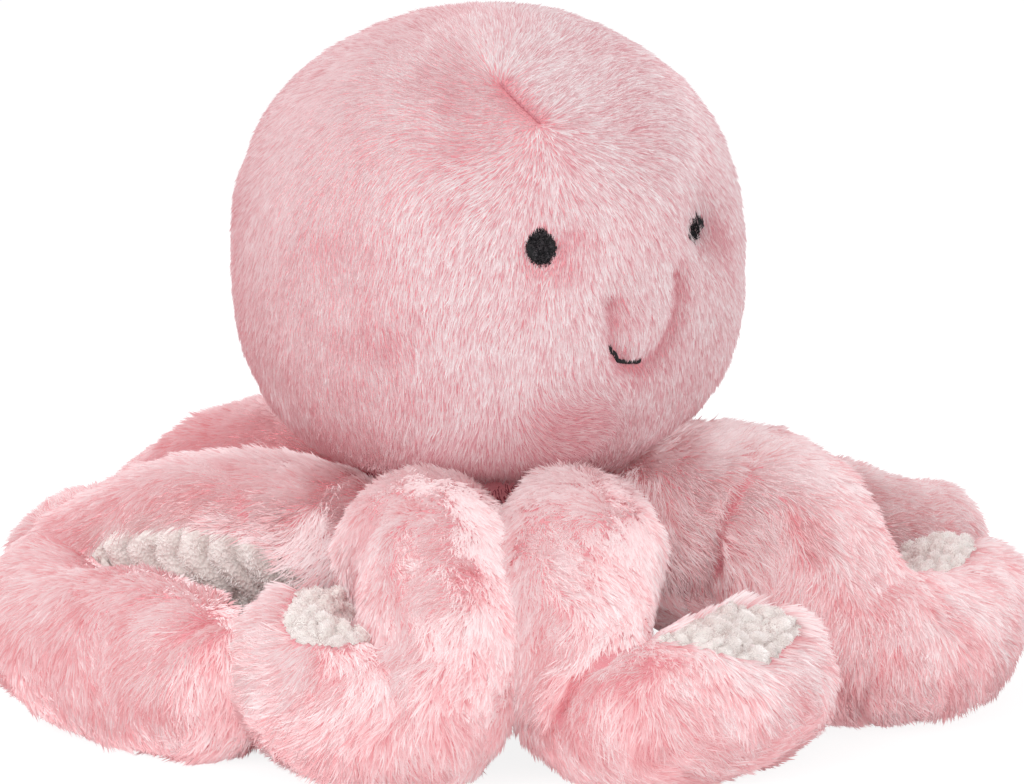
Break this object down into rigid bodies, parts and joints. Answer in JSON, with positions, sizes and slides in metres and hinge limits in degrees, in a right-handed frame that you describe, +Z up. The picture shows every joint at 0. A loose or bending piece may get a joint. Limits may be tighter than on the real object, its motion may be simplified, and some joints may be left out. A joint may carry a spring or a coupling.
{
  "type": "plush octopus",
  "caption": "Sitting plush octopus with a round stuffed head, a stitched face, a short weighted body and curled stuffed arms with pale undersides.",
  "frame": {"origin": "on the floor, at the middle of the flat base panel under the body", "axes": "+Z up, the face looks along -Y, +X is the toy's own left side"},
  "size_m": [0.3505, 0.3251, 0.234],
  "materials": {
    "head_plush": "short combed pile",
    "arm_plush": "long tufted pile",
    "belly_plush": "short nubbly pile",
    "black_thread": "satin stitch",
    "seam_thread": "closed seam",
    "fibre": "loose fibre",
    "pouch_cloth": "plain weave",
    "pellets": "bulk pellets"
  },
  "bodies": {
    "body": {"head_cover": "head_plush", "head_stuffing": "fibre", "face_pull_thread": "fibre", "eye_right": "black_thread", "eye_left": "black_thread", "smile_thread": "black_thread", "crown_seam_thread": "seam_thread", "body_cover": "arm_plush", "body_stuffing": "fibre", "pellet_pouch": "pouch_cloth", "pellet_fill": "pellets", "base_panel": "belly_plush"},
    "arm_1": {"arm_1_cover": "arm_plush", "arm_1_belly": "belly_plush", "arm_1_stuffing": "fibre"},
    "arm_2": {"arm_2_cover": "arm_plush", "arm_2_belly": "belly_plush", "arm_2_stuffing": "fibre"},
    "arm_3": {"arm_3_cover": "arm_plush", "arm_3_belly": "belly_plush", "arm_3_stuffing": "fibre"},
    "arm_4": {"arm_4_cover": "arm_plush", "arm_4_belly": "belly_plush", "arm_4_stuffing": "fibre"},
    "arm_5": {"arm_5_cover": "arm_plush", "arm_5_belly": "belly_plush", "arm_5_stuffing": "fibre"},
    "arm_6": {"arm_6_cover": "arm_plush", "arm_6_belly": "belly_plush", "arm_6_stuffing": "fibre"},
    "arm_7": {"arm_7_cover": "arm_plush", "arm_7_belly": "belly_plush", "arm_7_stuffing": "fibre"},
    "arm_8": {"arm_8_cover": "arm_plush", "arm_8_belly": "belly_plush", "arm_8_stuffing": "fibre"}
  },
  "joints": [
    {"name": "arm_1_lift", "type": "hinge", "parent": "body", "child": "arm_1", "pos_m": [-0.00464, -0.04074, 0.076], "axis": [-0.9936, 0.1132, 0], "range_deg": [0, 18]},
    {"name": "arm_2_lift", "type": "hinge", "parent": "body", "child": "arm_2", "pos_m": [0.02552, -0.03209, 0.076], "axis": [-0.7826, -0.6225, 0], "range_deg": [0, 8]},
    {"name": "arm_3_lift", "type": "hinge", "parent": "body", "child": "arm_3", "pos_m": [0.04074, -0.00464, 0.076], "axis": [-0.1132, -0.9936, 0], "range_deg": [0, 18]},
    {"name": "arm_4_lift", "type": "hinge", "parent": "body", "child": "arm_4", "pos_m": [0.03209, 0.02552, 0.076], "axis": [0.6225, -0.7826, 0], "range_deg": [0, 18]},
    {"name": "arm_5_lift", "type": "hinge", "parent": "body", "child": "arm_5", "pos_m": [0.00464, 0.04074, 0.076], "axis": [0.9936, -0.1132, 0], "range_deg": [0, 18]},
    {"name": "arm_6_lift", "type": "hinge", "parent": "body", "child": "arm_6", "pos_m": [-0.02552, 0.03209, 0.076], "axis": [0.7826, 0.6225, 0], "range_deg": [0, 14]},
    {"name": "arm_7_lift", "type": "hinge", "parent": "body", "child": "arm_7", "pos_m": [-0.04074, 0.00464, 0.076], "axis": [0.1132, 0.9936, 0], "range_deg": [0, 18]},
    {"name": "arm_8_lift", "type": "hinge", "parent": "body", "child": "arm_8", "pos_m": [-0.03209, -0.02552, 0.076], "axis": [-0.6225, 0.7826, 0], "range_deg": [0, 18]}
  ]
}
